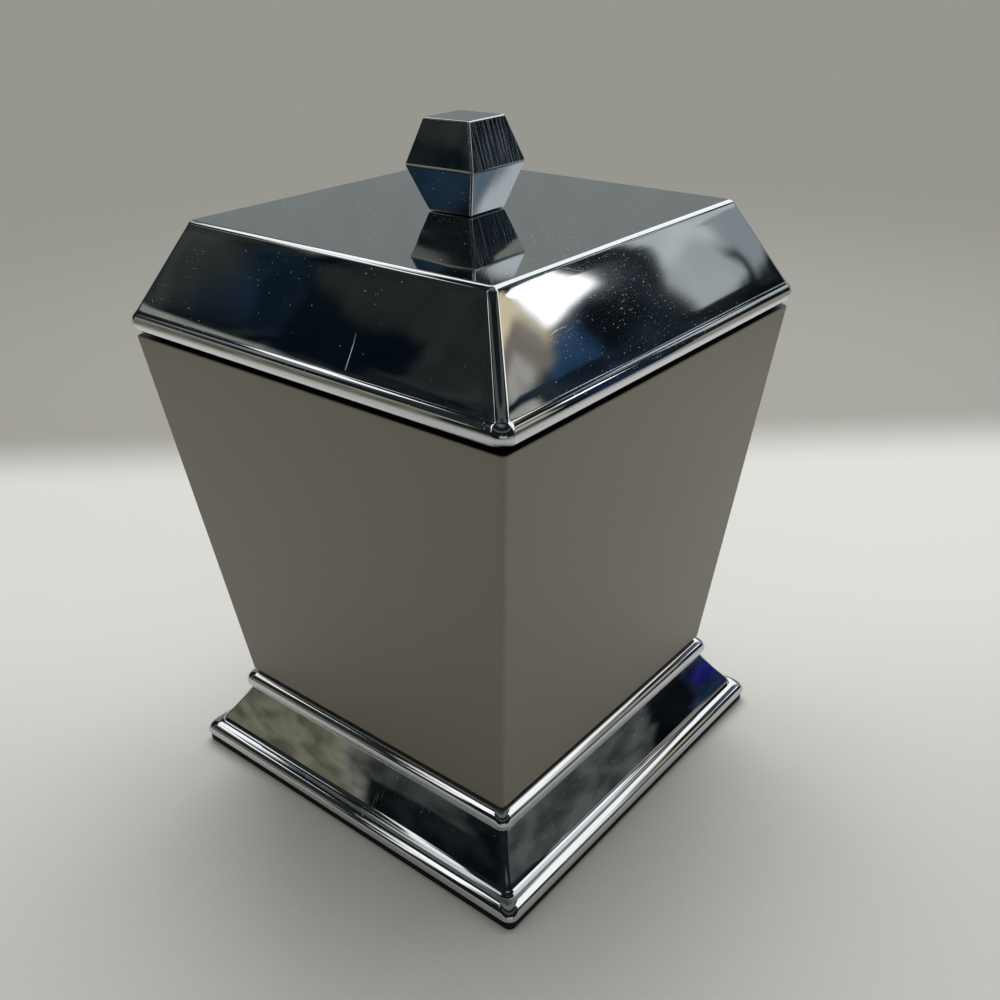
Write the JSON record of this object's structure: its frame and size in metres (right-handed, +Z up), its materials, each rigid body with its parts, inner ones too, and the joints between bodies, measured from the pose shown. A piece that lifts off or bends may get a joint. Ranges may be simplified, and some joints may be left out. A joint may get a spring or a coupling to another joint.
{
  "type": "cotton ball holder",
  "caption": "Square bathroom jar for cotton balls: a tapering taupe body on a chrome plinth, with a lift-off chrome lid that has sloping sides and a faceted knob.",
  "frame": {"origin": "middle of the foot pad's underside, on the surface that the jar stands on", "axes": "+Z up; -Y and +X are the two body faces that the picture shows, on its left and its right"},
  "size_m": [0.112, 0.112, 0.165],
  "materials": {
    "black_foam": "matt black foam sheet",
    "plinth_chrome": "bright chrome plating",
    "taupe_lacquer": "satin taupe lacquer",
    "lid_chrome": "bright chrome plating, lightly scratched",
    "black_plastic": "moulded, fine grain",
    "black_rubber": "matt",
    "knob_chrome": "bright chrome plating",
    "zinc_steel": "zinc plated"
  },
  "bodies": {
    "jar": {"body_shell": "taupe_lacquer", "base_plinth": "plinth_chrome", "foot_pad": "black_foam", "plinth_screw_1": "zinc_steel", "plinth_screw_2": "zinc_steel", "plinth_screw_3": "zinc_steel", "plinth_screw_4": "zinc_steel"},
    "lid": {"lid_cover": "lid_chrome", "lid_liner": "black_plastic", "lid_gasket": "black_rubber", "lid_knob": "knob_chrome", "knob_washer": "zinc_steel", "knob_screw": "zinc_steel"}
  },
  "joints": [
    {"name": "lid_lift", "type": "slide", "parent": "jar", "child": "lid", "axis": [0, 0, 1], "range_m": [0, 0.1]}
  ]
}
